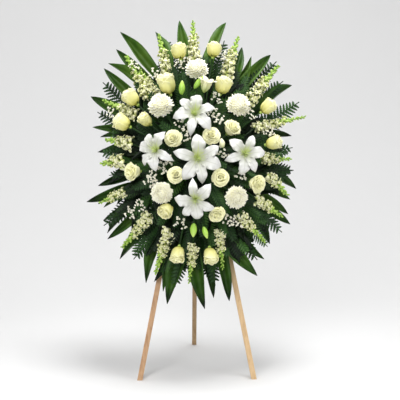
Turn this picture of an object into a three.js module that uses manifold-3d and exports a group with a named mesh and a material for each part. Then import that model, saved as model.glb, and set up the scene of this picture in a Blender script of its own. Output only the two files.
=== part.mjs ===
// A standing funeral spray on a folding wooden tripod easel.
// Millimetres, +Z up, the flowers face -Y, the feet stand on z = 0.
// The easel's two front legs lean back; a tray of floral foam is tied to them, and every flower,
// leaf and fern frond is a stem pushed into that foam.
import * as THREE from "three";
import { mergeVertices } from "three/addons/utils/BufferGeometryUtils.js";
import Module from "manifold-3d";

const wasm = await Module();
wasm.setup();

const GAP = 0.3; // clearance between neighbouring solids
const { degToRad } = THREE.MathUtils;

// Easel
const LEG = 19; // square strip
const LEAN = degToRad(10.7); // the front frame leans back by this much
const FOOT_SPREAD = 412; // between the front feet's centres
const SPLAY = 0.1885; // how far each front leg comes inwards per unit of height
const FRONT_TOP = 1004;
const BOLT_HEIGHT = 970;
const BACK_FOOT_Y = 520; // the back foot's centre, behind the front frame's foot line
const BACK_TOP = BOLT_HEIGHT + 14;
const BOLT_RADIUS = 3;
const BAR_THICK = 9;
const BAR_TALL = 30;

// Foam and tray, in the spray's own frame: x across, y up the leaning frame, z out of it
const SPRAY_UP = 790; // the foam's centre, along the front legs from the floor
const FOAM = { wide: 150, tall: 230, thick: 80 };
const TRAY_THICK = 4;
const TRAY = { wide: 158, tall: 280 };
const FOAM_BACK = GAP + TRAY_THICK + GAP;
const FOAM_FRONT = FOAM_BACK + FOAM.thick;
const HEART = new THREE.Vector3(0, 0, 50); // the point that the flower stems aim at, inside the foam

const WOOD = new THREE.MeshStandardMaterial({ color: 0xc99a63, roughness: 0.55 });
const STEEL = new THREE.MeshStandardMaterial({ color: 0xb8babd, roughness: 0.35, metalness: 0.9 });
const TRAY_GREEN = new THREE.MeshStandardMaterial({ color: 0x1f4a2c, roughness: 0.5 });
const FOAM_GREEN = new THREE.MeshStandardMaterial({ color: 0x2f5f36, roughness: 0.95 });
const TIE_BLACK = new THREE.MeshStandardMaterial({ color: 0x1b1c1b, roughness: 0.45 });
const LEAF_GREEN = new THREE.MeshStandardMaterial({ color: 0x2c6a1c, roughness: 0.45 });
const FERN_GREEN = new THREE.MeshStandardMaterial({ color: 0x1c4a22, roughness: 0.6 });
const ROSE_CREAM = new THREE.MeshStandardMaterial({ color: 0xf2edb8, roughness: 0.6 });
const MUM_CREAM = new THREE.MeshStandardMaterial({ color: 0xf5f2dc, roughness: 0.7 });
const LILY_WHITE = new THREE.MeshStandardMaterial({ color: 0xf6f6f2, roughness: 0.5 });
const SNAP_GREEN_WHITE = new THREE.MeshStandardMaterial({ color: 0xdfe6b4, roughness: 0.65 });

const spot = (x, y, z) => new THREE.Vector3(x, y, z);

// ---- Solids and meshes -----------------------------------------------------------------------

function toSolid(geometry) {
  const plain = new THREE.BufferGeometry();
  plain.setAttribute("position", geometry.getAttribute("position"));
  if (geometry.index) plain.setIndex(geometry.index);
  const merged = mergeVertices(plain, 1e-3);
  return new wasm.Manifold(
    new wasm.Mesh({
      numProp: 3,
      vertProperties: merged.attributes.position.array,
      triVerts: new Uint32Array(merged.index.array),
    }),
  );
}

function toGeometry(solid) {
  const mesh = solid.getMesh();
  const geometry = new THREE.BufferGeometry();
  geometry.setAttribute("position", new THREE.BufferAttribute(mesh.vertProperties, 3));
  geometry.setIndex(new THREE.BufferAttribute(mesh.triVerts, 1));
  geometry.computeVertexNormals();
  return geometry;
}

const joined = (geometries) => geometries.map(toSolid).reduce((all, next) => all.add(next));

function add(group, name, material, shape) {
  const geometry = shape.isBufferGeometry ? shape : toGeometry(shape);
  const mesh = new THREE.Mesh(geometry, material);
  mesh.name = name;
  group.add(mesh);
  return mesh;
}

// ---- Basic shapes ----------------------------------------------------------------------------

const box = (wide, deep, tall, x, y, z) =>
  new THREE.BoxGeometry(wide, deep, tall).translate(x, y, z);

// A round bar along X.
const crossPin = (radius, length, x, y, z, sides = 16) =>
  new THREE.CylinderGeometry(radius, radius, length, sides).rotateZ(Math.PI / 2).translate(x, y, z);

// A round bar through the points, with flat ends.
function rod(points, radius, sides = 6, steps = 1) {
  const section = new THREE.Shape();
  for (let i = 0; i < sides; i++) {
    const turn = (2 * Math.PI * i) / sides;
    const [x, y] = [radius * Math.cos(turn), radius * Math.sin(turn)];
    if (i) section.lineTo(x, y);
    else section.moveTo(x, y);
  }
  const path = points.length > 2 ? new THREE.CatmullRomCurve3(points) : new THREE.LineCurve3(...points);
  return new THREE.ExtrudeGeometry(section, { extrudePath: path, steps });
}

// A ball drawn out along a curve into a blade: pointed at both ends, `across` sets the width's direction.
function blade({ path, across, width, thick, around = 4, along = 6, outline = () => 1 }) {
  const geometry = new THREE.SphereGeometry(1, around, along);
  const vertices = geometry.getAttribute("position");
  for (let i = 0; i < vertices.count; i++) {
    const t = Math.min(1, Math.max(0, (1 - vertices.getY(i)) / 2));
    const tangent = path.getTangent(t);
    const side = across.clone().addScaledVector(tangent, -across.dot(tangent)).normalize();
    const normal = tangent.clone().cross(side);
    const point = path
      .getPoint(t)
      .addScaledVector(side, vertices.getX(i) * (width / 2) * outline(t))
      .addScaledVector(normal, vertices.getZ(i) * (thick / 2));
    vertices.setXYZ(i, point.x, point.y, point.z);
  }
  return geometry;
}

// Stands a shape that was made on the Z axis at `place`, its Z axis turned to `facing`.
function stand(geometry, place, facing) {
  const turn = new THREE.Quaternion().setFromUnitVectors(spot(0, 0, 1), facing.clone().normalize());
  return geometry.applyQuaternion(turn).translate(place.x, place.y, place.z);
}

// ---- Easel -----------------------------------------------------------------------------------

// A square leg whose ends are cut level: a box leaned by a shear, so that it stands flat on the floor.
function slantedLeg(footX, footY, top, inward, backward) {
  const leg = box(LEG, LEG, top, 0, 0, top / 2);
  leg.applyMatrix4(new THREE.Matrix4().set(1, 0, inward, 0, 0, 1, backward, 0, 0, 0, 1, 0, 0, 0, 0, 1));
  return leg.translate(footX, footY, 0);
}

function easel(root, frame) {
  const frontY = (z) => LEG / 2 + z * Math.tan(LEAN); // the front legs' centre line
  const boltY = frontY(BOLT_HEIGHT);
  const backSlope = (boltY - BACK_FOOT_Y) / BOLT_HEIGHT;
  const boltGap = FOOT_SPREAD / 2 - SPLAY * BOLT_HEIGHT; // a front leg's centre, beside the bolt
  const hole = toSolid(crossPin(BOLT_RADIUS + GAP, 300, 0, boltY, BOLT_HEIGHT));

  for (const [name, side] of [["leg_left", -1], ["leg_right", 1]]) {
    const footX = (side * FOOT_SPREAD) / 2;
    const leg = slantedLeg(footX, LEG / 2, FRONT_TOP, -side * SPLAY, Math.tan(LEAN));
    add(root, name, WOOD, toSolid(leg).subtract(hole));
  }

  // The back leg's top is bevelled along the front frame's plane: it bears on the stop bar when open.
  const ahead = box(200, 200, 200, 0, -100, 0).rotateX(-LEAN);
  ahead.translate(0, BOLT_HEIGHT * Math.tan(LEAN), BOLT_HEIGHT);
  const back = slantedLeg(0, BACK_FOOT_Y, BACK_TOP, 0, backSlope);
  add(root, "leg_back", WOOD, toSolid(back).subtract(hole).subtract(toSolid(ahead)));

  const headRadius = 5.5;
  const headThick = 4;
  const seat = boltGap + LEG / 2 + SPLAY * headRadius + GAP; // clear of a splayed leg's outer face
  const bolt = joined([
    crossPin(BOLT_RADIUS, 2 * seat + 12, 5, boltY, BOLT_HEIGHT, 12),
    crossPin(headRadius, headThick, -seat - headThick / 2, boltY, BOLT_HEIGHT, 6),
  ]);
  add(root, "pivot_bolt", STEEL, bolt);
  const wings = box(3, 2.5, 26, seat + 4.5, boltY, BOLT_HEIGHT);
  const nut = joined([crossPin(headRadius, 6, seat + 3, boltY, BOLT_HEIGHT, 12), wings]);
  const thread = toSolid(crossPin(BOLT_RADIUS + GAP, 60, seat, boltY, BOLT_HEIGHT));
  add(root, "wing_nut", STEEL, nut.subtract(thread));
  const washerThick = 1.2;
  for (const [name, side] of [["washer_left", -1], ["washer_right", 1]]) {
    const x = side * (LEG / 2 + GAP + washerThick / 2);
    const washer = toSolid(crossPin(7, washerThick, x, boltY, BOLT_HEIGHT));
    add(root, name, STEEL, washer.subtract(hole));
  }

  // Bars across the front of the legs, in the leaning frame.
  const bars = [
    ["stop_bar", BOLT_HEIGHT / Math.cos(LEAN) + 14, 84],
    ["tray_bar", SPRAY_UP - TRAY.tall / 2 - BAR_TALL / 2 - GAP, 222],
  ];
  for (const [name, up, wide] of bars) {
    const bar = toSolid(box(wide, BAR_TALL, BAR_THICK, 0, up, GAP + BAR_THICK / 2));
    const legX = FOOT_SPREAD / 2 - SPLAY * up * Math.cos(LEAN);
    const upright = (top, bottom, length, x, z) =>
      new THREE.CylinderGeometry(top, bottom, length, 8).rotateX(Math.PI / 2).translate(x, up, z);
    const holes = [["left", -legX], ["right", legX]].map(([side, x]) => {
      const shank = upright(2, 2, BAR_THICK, x, BAR_THICK / 2 + 1);
      const head = upright(4, 2, 2.4, x, BAR_THICK + 1.5);
      add(frame, name + "_screw_" + side, STEEL, joined([shank, head]));
      return upright(4.3, 4.3, 40, x, 0);
    });
    add(frame, name, WOOD, holes.reduce((solid, hole) => solid.subtract(toSolid(hole)), bar));
  }
}

// ---- Stems -----------------------------------------------------------------------------------

const rooms = []; // what each stem takes out of the foam, the tray and the tape

// A stem from inside the foam to `end`; with `facing` it bends to arrive along that direction.
function stem(from, end, radius, facing) {
  const bend = (way) => [from, from.clone().lerp(end, 0.55), end.clone().addScaledVector(way, -26), end];
  const points = facing ? bend(facing) : [from, end];
  const steps = facing ? 4 : 1;
  rooms.push(toSolid(rod(points, radius + 0.5, 6, steps)));
  return rod(points, radius, 6, steps);
}

// The stems of a flat fan are gathered on a pick, which sits in a slit cut in from the foam's edge.
function fanPick(x, y, level) {
  const size = 30;
  const thick = 4;
  const slit = x ? { wide: 110, tall: 90 } : { wide: FOAM.wide + 20, tall: 110 };
  const outwards = (at, length) => at + Math.sign(at) * (length / 2 - size / 2 - 1);
  const [slitX, slitY] = [outwards(x, slit.wide), outwards(y, slit.tall)];
  rooms.push(toSolid(box(slit.wide, slit.tall, thick + 2, slitX, slitY, level)));
  return box(size, size, thick, x, y, level);
}

// Where a straight stem that aims at the heart stops inside the foam.
function rootOf(head) {
  const way = head.clone().sub(HEART);
  const toSides = Math.min(FOAM.wide / 2 / Math.abs(way.x), FOAM.tall / 2 / Math.abs(way.y));
  const toFront = (FOAM_FRONT - HEART.z) / way.z;
  return HEART.clone().addScaledVector(way, 0.6 * Math.min(toSides, toFront));
}

// ---- Roses: across, up, out, width of the head -----------------------------------------------

const ROSES = [
  [-65, 410, 135, 56],
  [-110, 265, 170, 70],
  [-240, 220, 150, 60],
  [-270, 125, 155, 58],
  [-185, 130, 170, 48],
  [65, 420, 130, 52],
  [95, 260, 175, 60],
  [260, 190, 145, 56],
  [-85, 50, 200, 58],
  [-230, -60, 165, 60],
  [-75, -80, 200, 54],
  [-110, -200, 180, 50],
  [48, 62, 196, 58],
  [125, 95, 185, 58],
  [275, 50, 160, 54],
  [80, -88, 196, 56],
  [210, -105, 175, 60],
  [65, -215, 185, 54],
  [45, -355, 150, 54],
  [-70, -350, 150, 54],
];

// A half-open head, narrow at the calyx and gathered at the mouth, with five-lobed petals.
function roseHead(width) {
  const [r, h] = [width / 2, width * 0.95];
  const profile = [[0, 0], [0.25, 0.04], [0.8, 0.3], [1, 0.62], [0.86, 0.9], [0.55, 1], [0, 0.92]];
  const head = new THREE.LatheGeometry(profile.map(([a, b]) => new THREE.Vector2(a * r, b * h)), 10);
  head.rotateX(Math.PI / 2);
  return head.translate(0, 0, -h / 2);
}

function roses(spray) {
  ROSES.forEach(([x, y, z, width], i) => {
    const place = spot(x, y, z);
    const facing = place.clone().sub(HEART).normalize();
    const calyx = place.clone().addScaledVector(facing, -width * 0.4);
    const flower = joined([stand(roseHead(width), place, facing), stem(rootOf(place), calyx, 2.6)]);
    add(spray, "rose_" + String(i + 1).padStart(2, "0"), ROSE_CREAM, flower);
  });
}

// ---- Chrysanthemums --------------------------------------------------------------------------

const MUMS = [
  [0, 325, 165, 78],
  [-130, 180, 180, 84],
  [148, 185, 175, 80],
  [-125, -140, 185, 72],
  [135, -155, 180, 74],
];

// A ball of petals: every other point of the ball stands back between the petal tips.
function mumHead(width) {
  const [around, along] = [12, 7];
  const head = new THREE.SphereGeometry(width / 2, around, along);
  const vertices = head.getAttribute("position");
  for (let i = 0; i < vertices.count; i++) {
    const [row, column] = [Math.floor(i / (around + 1)), i % (around + 1)];
    const tip = row === 0 || row === along || (row + (column % around)) % 2 === 0;
    const share = tip ? 1 : 0.84;
    vertices.setXYZ(i, vertices.getX(i) * share, vertices.getY(i) * share * 0.84, vertices.getZ(i) * share);
  }
  return head.rotateX(Math.PI / 2);
}

function mums(spray) {
  MUMS.forEach(([x, y, z, width], i) => {
    const place = spot(x, y, z);
    const facing = place.clone().sub(HEART).normalize();
    const under = place.clone().addScaledVector(facing, -width * 0.3);
    const flower = joined([stand(mumHead(width), place, facing), stem(rootOf(place), under, 2.8)]);
    add(spray, "chrysanthemum_" + (i + 1), MUM_CREAM, flower);
  });
}

// ---- Lilies ----------------------------------------------------------------------------------

// Name, middle of the mouth, way it faces, reach of a petal, directions of the six petals in degrees.
const LILIES = [
  ["lily_top", [-10, 132, 246], [0, 0, 1], 80, [83, 22, -43, 257, 186, 134]],
  ["lily_middle", [0, -35, 256], [0.05, -0.2, 1], 90, [90, 30, -17, -76, -124, 164]],
  ["lily_left", [-150, 0, 236], [-0.42, -0.15, 1], 74, [63, 117, 161, 219, 263, 331]],
  ["lily_right", [166, -12, 234], [0.05, -0.19, 1], 76, [135, 67, 7, -56, -96, 198]],
  ["lily_bottom", [-10, -180, 244], [-0.1, -0.5, 1], 76, [179, 96, 48, -29, -84, -125]],
];
const THROAT = 62; // from the mouth back to the end of the trumpet

// One petal: up the trumpet's wall, out over the mouth and curled back at the tip.
function lilyPetal(angle, reach, wide) {
  const out = spot(Math.cos(angle), Math.sin(angle), 0);
  const at = (share, height) => out.clone().multiplyScalar(share * reach).setZ(height);
  const path = new THREE.CatmullRomCurve3([at(0.04, -THROAT), at(0.25, -26), at(0.62, 0), at(1, -8)]);
  const across = spot(-Math.sin(angle), Math.cos(angle), 0);
  const outline = (t) => 0.25 + 1.05 * t;
  return blade({ path, across, width: wide, thick: 4, along: 5, outline });
}

function lilies(spray) {
  for (const [name, place, facing, reach, petals] of LILIES) {
    const mouth = spot(...place);
    const axis = spot(...facing).normalize();
    const tube = new THREE.CylinderGeometry(13, 5, 34, 8).rotateX(Math.PI / 2).translate(0, 0, -THROAT + 14);
    const style = rod([spot(0, 0, -THROAT + 10), spot(0, 0, 6)], 2, 5);
    const parts = petals.map((angle, i) => lilyPetal(degToRad(angle), reach, reach * (i % 2 ? 0.36 : 0.46)));
    const flower = [...parts, tube, style].map((piece) => stand(piece, mouth, axis));
    const neck = mouth.clone().addScaledVector(axis, -THROAT + 4);
    add(spray, name, LILY_WHITE, joined([...flower, stem(rootOf(neck), neck, 3, axis)]));
  }
}

// ---- Snapdragons: tip, then the lowest florets ------------------------------------------------

const SNAPDRAGONS = {
  snapdragons_top: {
    pick: [0, 88, 58],
    spikes: [
      [[-270, 420, 75], [-175, 235, 120], 42],
      [[-225, 372, 88], [-150, 245, 122], 30],
      [[-145, 512, 75], [-112, 335, 116], 38],
      [[-12, 565, 75], [-10, 390, 108], 40],
      [[165, 505, 75], [112, 330, 116], 42],
      [[320, 385, 75], [192, 222, 118], 44],
    ],
  },
  snapdragons_right: {
    pick: [45, 0, 45],
    spikes: [
      [[415, 178, 75], [215, 118, 122], 34],
      [[352, 8, 88], [238, 0, 124], 36],
      [[335, -130, 88], [262, -62, 122], 38],
      [[312, -208, 85], [215, -150, 120], 36],
    ],
  },
  snapdragons_bottom: {
    pick: [0, -88, 58],
    spikes: [
      [[245, -300, 88], [152, -205, 122], 36],
      [[92, -405, 88], [78, -265, 128], 32],
      [[-30, -450, 85], [-14, -315, 126], 32],
      [[-150, -415, 85], [-100, -262, 122], 38],
      [[-270, -320, 80], [-168, -210, 124], 40],
    ],
  },
  snapdragons_left: {
    pick: [-45, 0, 45],
    spikes: [
      [[-360, -160, 80], [-262, -122, 118], 30],
      [[-355, -12, 90], [-270, -8, 122], 44],
      [[-340, 80, 90], [-240, 55, 124], 42],
      [[-355, 240, 75], [-225, 165, 122], 36],
    ],
  },
};

// A spike of florets in tiers, full at the base and coming to a budded tip.
function spike(tip, base, width) {
  const path = new THREE.LineCurve3(base, tip);
  const outline = (t) => (1 - 0.45 * t) * (Math.round(t * 40) % 2 ? 1.12 : 0.94);
  const across = spot(0, 0, 1);
  return blade({ path, across, width: width * 1.12, thick: width, around: 6, along: 7, outline });
}

function snapdragons(spray) {
  for (const [name, { pick, spikes }] of Object.entries(SNAPDRAGONS)) {
    const pieces = spikes.flatMap(([tip, base, width]) => {
      const [top, low] = [spot(...tip), spot(...base)];
      return [spike(top, low, width), stem(spot(...pick), low.clone().lerp(top, 0.12), 2.2)];
    });
    add(spray, name, SNAP_GREEN_WHITE, joined(pieces));
  }
}

// ---- Broad leaves: tip, base of the part that stands clear of the flowers, width ------------------

const LEAVES = {
  leaves_top: {
    pick: [0, 75],
    level: 29,
    blades: [
      [[-300, 545], [-150, 395], 42],
      [[-155, 555], [-148, 400], 44],
      [[-65, 585], [-38, 400], 46],
      [[-315, 470], [-170, 365], 38],
      [[-345, 420], [-190, 330], 36],
      [[-355, 385], [-215, 262], 40],
      [[120, 590], [38, 390], 46],
      [[188, 490], [150, 335], 36],
      [[215, 440], [170, 330], 30],
      [[298, 452], [170, 345], 44],
      [[378, 335], [262, 220], 44],
    ],
  },
  leaves_right: {
    pick: [40, 0],
    level: 15,
    blades: [
      [[372, 122], [230, 160], 32],
      [[340, 58], [225, 62], 34],
      [[378, -95], [265, 5], 38],
      [[358, -130], [235, -85], 32],
      [[350, -185], [245, -125], 36],
      [[352, -228], [245, -165], 38],
      [[275, -300], [235, -150], 44],
    ],
  },
  leaves_bottom: {
    pick: [0, -75],
    level: 29,
    blades: [
      [[250, -360], [115, -270], 40],
      [[222, -422], [100, -320], 48],
      [[115, -512], [88, -350], 44],
      [[62, -500], [8, -365], 34],
      [[25, -540], [-18, -350], 50],
      [[-105, -522], [-38, -345], 54],
      [[-125, -476], [-68, -350], 32],
      [[-152, -442], [-102, -320], 34],
      [[-182, -446], [-165, -285], 40],
      [[-285, -356], [-145, -250], 40],
    ],
  },
  leaves_left: {
    pick: [-40, 0],
    level: 15,
    blades: [
      [[-332, -282], [-225, -170], 36],
      [[-338, -255], [-232, -145], 36],
      [[-350, -210], [-245, -140], 32],
      [[-350, -160], [-238, -102], 34],
      [[-415, -142], [-270, -85], 38],
      [[-372, -78], [-270, -15], 34],
      [[-378, 55], [-235, 60], 36],
      [[-372, 118], [-265, 148], 28],
      [[-398, 152], [-270, 178], 30],
      [[-412, 278], [-245, 215], 46],
    ],
  },
};

const LEAF_TUCK = 0.74; // how far in towards the middle each blade goes on, under the flowers

function leaves(spray) {
  for (const [name, { pick, level, blades }] of Object.entries(LEAVES)) {
    const foot = spot(...pick, level);
    const pieces = blades.flatMap(([tip, base, width]) => {
      const top = spot(...tip, level - 2);
      const low = spot(...base, 0).multiplyScalar(LEAF_TUCK).setZ(level);
      const arch = top.clone().lerp(low, 0.5).setZ(level + 5);
      const path = new THREE.CatmullRomCurve3([low, arch, top]);
      const across = spot(low.y - top.y, top.x - low.x, 0).normalize();
      const outline = (t) => 1.02 + 0.1 * t;
      const leaf = blade({ path, across, width: width * 1.12, thick: 3, along: 5, outline });
      return [leaf, rod([foot, low.clone().lerp(arch, 0.3)], 1.8, 4)];
    });
    add(spray, name, LEAF_GREEN, joined([fanPick(...pick, level), ...pieces]));
  }
}

// ---- Fern fronds: tip, length of the leafy part, width -----------------------------------------

const FERNS = {
  ferns_top: {
    pick: [0, 70],
    level: 53,
    fronds: [
      [[-118, 500], 210, 70],
      [[112, 498], 210, 70],
      [[340, 330], 210, 68],
      [[316, 412], 220, 70],
    ],
  },
  ferns_right: {
    pick: [35, 0],
    level: 41,
    fronds: [
      [[402, 250], 220, 78],
      [[370, 66], 190, 66],
      [[366, -26], 190, 66],
      [[318, -262], 200, 64],
    ],
  },
  ferns_bottom: {
    pick: [0, -70],
    level: 53,
    fronds: [
      [[222, -366], 210, 70],
      [[66, -458], 210, 68],
      [[-80, -462], 200, 64],
      [[-232, -362], 200, 66],
    ],
  },
  ferns_left: {
    pick: [-35, 0],
    level: 41,
    fronds: [
      [[-345, -236], 200, 66],
      [[-368, 46], 190, 66],
      [[-380, 205], 200, 70],
      [[-362, 326], 220, 70],
    ],
  },
};

// A flat frond along +Y with its tip at the origin: leaflets in pairs on a narrow midrib.
function frondOutline(length, width) {
  const pairs = 5;
  const rib = 1.6;
  const side = [];
  for (let i = 0; i < pairs; i++) {
    const along = -length * (1 - (i + 0.2) / pairs);
    const reach = (width / 2) * Math.sin(Math.PI * (0.28 + (0.62 * i) / pairs));
    side.push([rib, along], [reach, along + (length / pairs) * 0.75], [rib, along + (length / pairs) * 0.5]);
  }
  const points = [...side, [0, 0], ...side.reverse().map(([x, y]) => [-x, y])];
  return new THREE.Shape(points.map(([x, y]) => new THREE.Vector2(x, y)));
}

function ferns(spray) {
  const thick = 2;
  for (const [name, { pick, level, fronds }] of Object.entries(FERNS)) {
    const foot = spot(...pick, level);
    const pieces = fronds.flatMap(([tip, length, width]) => {
      const top = spot(...tip, level);
      const way = top.clone().sub(foot).normalize();
      const flat = { depth: thick, bevelEnabled: false };
      const frond = new THREE.ExtrudeGeometry(frondOutline(length, width), flat);
      frond.rotateZ(Math.atan2(-way.x, way.y)).translate(top.x, top.y, level - thick / 2);
      return [frond, rod([foot, top.clone().addScaledVector(way, -length * 0.7)], 1.6, 4)];
    });
    add(spray, name, FERN_GREEN, joined([fanPick(...pick, level), ...pieces]));
  }
}

// ---- Foam, tray, tape and ties -----------------------------------------------------------------

function holder(spray) {
  const carve = (solid) => rooms.reduce((left, room) => left.subtract(room), solid);

  const foam = box(FOAM.wide, FOAM.tall, FOAM.thick, 0, 0, FOAM_BACK + FOAM.thick / 2);
  add(spray, "foam_block", FOAM_GREEN, carve(toSolid(foam)));

  // Cable ties round the legs and the tray's upper lug.
  const tieUp = TRAY.tall / 2 - 12;
  const tieWide = 5;
  const tieThick = 1.6;
  const legX = FOOT_SPREAD / 2 - SPLAY * (SPRAY_UP + tieUp) * Math.cos(LEAN);
  const innerX = 12.4;
  const [back, front] = [-LEG - 2 * GAP, GAP + TRAY_THICK + GAP];
  const ring = (grow, tall) => {
    const [wide, deep] = [2 * (innerX + grow), front - back + 2 * grow];
    return toSolid(box(wide, tall, deep, 0, 0, (front + back) / 2));
  };
  const loop = (grow) => ring(tieThick + grow, tieWide + 2 * grow).subtract(ring(-grow, 4 * tieWide));
  const catchBox = toSolid(box(6, 7, 5, innerX + tieThick + 1.5, 0, -LEG / 2));
  const loops = [-legX, legX].map((x) => loop(GAP).translate([x, tieUp, 0]));
  add(spray, "tie_left", TIE_BLACK, loop(0).add(catchBox.mirror([1, 0, 0])).translate([-legX, tieUp, 0]));
  add(spray, "tie_right", TIE_BLACK, loop(0).add(catchBox).translate([legX, tieUp, 0]));

  const wall = 3;
  const tray = joined([
    box(TRAY.wide, TRAY.tall, TRAY_THICK, 0, 0, GAP + TRAY_THICK / 2),
    box(TRAY.wide, wall, 16, 0, FOAM.tall / 2 + GAP + wall / 2, GAP + 8),
    box(TRAY.wide, wall, 16, 0, -FOAM.tall / 2 - GAP - wall / 2, GAP + 8),
  ]);
  add(spray, "foam_tray", TRAY_GREEN, loops.reduce((left, room) => left.subtract(room), tray));

  // Waterproof tape over the foam, stuck to the tray's edges.
  const tapeThick = 0.8;
  const tapeWide = 12;
  const tapeUp = 52;
  const band = (grow, tall, deep) => {
    const wide = FOAM.wide + 2 * (GAP + grow);
    return toSolid(box(wide, tall, deep, 0, tapeUp, FOAM_FRONT + GAP + grow - deep / 2));
  };
  const tape = band(tapeThick, tapeWide, FOAM.thick).subtract(band(0, 2 * tapeWide, 2 * FOAM.thick));
  add(spray, "foam_tape", TRAY_GREEN, carve(tape));
}

// ---- The whole object ----------------------------------------------------------------------------

const root = new THREE.Group();
const frame = new THREE.Group(); // x across, y up the front legs, z out of their front faces
frame.rotation.x = Math.PI / 2 - LEAN;
const spray = new THREE.Group();
spray.position.y = SPRAY_UP;
frame.add(spray);
root.add(frame);

easel(root, frame);
leaves(spray);
ferns(spray);
snapdragons(spray);
roses(spray);
mums(spray);
lilies(spray);
holder(spray);

// The origin is the middle of the object's box, on the floor.
const size = new THREE.Box3().setFromObject(root, true);
const middle = size.getCenter(new THREE.Vector3());
root.position.set(-middle.x, -middle.y, -size.min.z);

export default root;
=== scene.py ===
"""The looks of a standing funeral spray on a folding wooden tripod easel, in metres."""
import math
import random

import bmesh
import bpy
from mathutils import Matrix, Quaternion, Vector


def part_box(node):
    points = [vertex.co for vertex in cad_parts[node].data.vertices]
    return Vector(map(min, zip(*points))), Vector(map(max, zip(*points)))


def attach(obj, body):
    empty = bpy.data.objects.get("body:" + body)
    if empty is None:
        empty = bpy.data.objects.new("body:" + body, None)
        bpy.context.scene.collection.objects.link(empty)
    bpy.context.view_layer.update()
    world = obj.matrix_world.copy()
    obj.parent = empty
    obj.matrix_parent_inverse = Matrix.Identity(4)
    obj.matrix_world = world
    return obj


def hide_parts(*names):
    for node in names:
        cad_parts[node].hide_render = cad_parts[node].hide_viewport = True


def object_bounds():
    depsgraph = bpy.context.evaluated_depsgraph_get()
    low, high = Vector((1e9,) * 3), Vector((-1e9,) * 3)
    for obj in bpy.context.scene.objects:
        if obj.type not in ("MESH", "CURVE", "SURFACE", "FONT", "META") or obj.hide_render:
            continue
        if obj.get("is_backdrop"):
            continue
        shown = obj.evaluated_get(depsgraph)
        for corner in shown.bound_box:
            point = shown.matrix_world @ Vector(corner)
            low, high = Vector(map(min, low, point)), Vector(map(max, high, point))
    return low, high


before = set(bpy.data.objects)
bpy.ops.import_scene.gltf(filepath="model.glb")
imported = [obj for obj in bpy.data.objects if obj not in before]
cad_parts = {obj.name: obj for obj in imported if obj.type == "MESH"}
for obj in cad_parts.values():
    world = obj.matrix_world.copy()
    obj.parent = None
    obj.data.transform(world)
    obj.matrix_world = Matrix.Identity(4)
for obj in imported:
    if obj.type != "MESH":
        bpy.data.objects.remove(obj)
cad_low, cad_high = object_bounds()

FRONT_BODY = "spray_and_front_frame"


# ---- Easel wood --------------------------------------------------------------------------------
# The legs and bars are planed strips of pale pine, 19 mm square, with a thin clear finish.
# The grain runs along each strip. The left leg is coloured browner than the right one.

def new_material(name, roughness):
    """A node material, its node tree and its shader."""
    material = bpy.data.materials.new(name)
    material.use_nodes = True
    shader = material.node_tree.nodes["Principled BSDF"]
    shader.inputs["Roughness"].default_value = roughness
    return material, material.node_tree, shader


def add_node(tree, kind, inputs=(), **settings):
    """A node with the values of some of its inputs, by name."""
    made = tree.nodes.new("ShaderNode" + kind)
    for key, value in settings.items():
        setattr(made, key, value)
    for key, value in dict(inputs).items():
        made.inputs[key].default_value = value
    return made


def add_ramp(tree, factor, *stops):
    """A colour ramp with a (position, colour) for each stop."""
    ramp = tree.nodes.new("ShaderNodeValToRGB")
    points = ramp.color_ramp.elements
    while len(points) < len(stops):
        points.new(0.5)
    for point, (position, colour) in zip(points, stops):
        point.position = position
        point.color = (*colour, 1)
    tree.links.new(factor, ramp.inputs["Fac"])
    return ramp.outputs["Color"]


def add_bump(tree, shader, height, strength, distance):
    bump = add_node(tree, "Bump", {"Strength": strength, "Distance": distance})
    tree.links.new(height, bump.inputs["Height"])
    tree.links.new(bump.outputs["Normal"], shader.inputs["Normal"])


def paint(node_names, material):
    for name in node_names:
        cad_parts[name].data.materials.clear()
        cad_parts[name].data.materials.append(material)


def wood(name, turn, dark, pale):
    material, tree, shader = new_material(name, 0.5)
    place = add_node(tree, "TexCoord")
    along = add_node(tree, "Mapping", {"Rotation": turn, "Scale": (110, 110, 5)})
    tree.links.new(place.outputs["Object"], along.inputs["Vector"])
    grain = add_node(tree, "TexNoise", {"Scale": 1.0, "Detail": 5.0, "Distortion": 0.6})
    tree.links.new(along.outputs["Vector"], grain.inputs["Vector"])
    colour = add_ramp(tree, grain.outputs["Fac"], (0.3, dark), (0.55, pale), (0.8, dark))
    tree.links.new(colour, shader.inputs["Base Color"])
    add_bump(tree, shader, grain.outputs["Fac"], 0.25, 0.0004)
    return material


LEAN = math.radians(10.7)  # the front legs lean back
SPLAY = math.atan(0.1885)  # and stand apart towards the floor
BACK_LEAN = -1.75 * LEAN
BROWN_PINE = [(0.33, 0.175, 0.080), (0.48, 0.29, 0.155)]
PALE_PINE = [(0.46, 0.29, 0.14), (0.60, 0.42, 0.23)]
# The back leg's pine is painted darker than the front legs' pine: painted shade, because it stands behind the
# spray.
PAINTED_SHADE_PINE = [(0.30, 0.19, 0.09), (0.40, 0.27, 0.14)]
paint(["leg_left"], wood("pine_left", (LEAN, 0, -SPLAY), *BROWN_PINE))
paint(["leg_right"], wood("pine_right", (LEAN, 0, SPLAY), *PALE_PINE))
paint(["leg_back"], wood("pine_back_painted_shade", (BACK_LEAN, 0, 0), *PAINTED_SHADE_PINE))
paint(["stop_bar", "tray_bar"], wood("pine_bars", (0, math.pi / 2, 0), *PALE_PINE))


# ---- Easel hardware ----------------------------------------------------------------------------
# The pivot bolt, its washers and wing nut, and the four bar screws are bright zinc-plated steel.
# They are stock fasteners, lightly scuffed.

def zinc_plate():
    material, tree, shader = new_material("zinc_plate", 0.32)
    shader.inputs["Metallic"].default_value = 0.95
    place = add_node(tree, "TexCoord")
    scuffs = add_node(tree, "TexNoise", {"Scale": 900.0, "Detail": 3.0})
    tree.links.new(place.outputs["Object"], scuffs.inputs["Vector"])
    colour = add_ramp(tree, scuffs.outputs["Fac"], (0.3, (0.50, 0.51, 0.52)), (0.7, (0.72, 0.72, 0.70)))
    tree.links.new(colour, shader.inputs["Base Color"])
    return material


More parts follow.
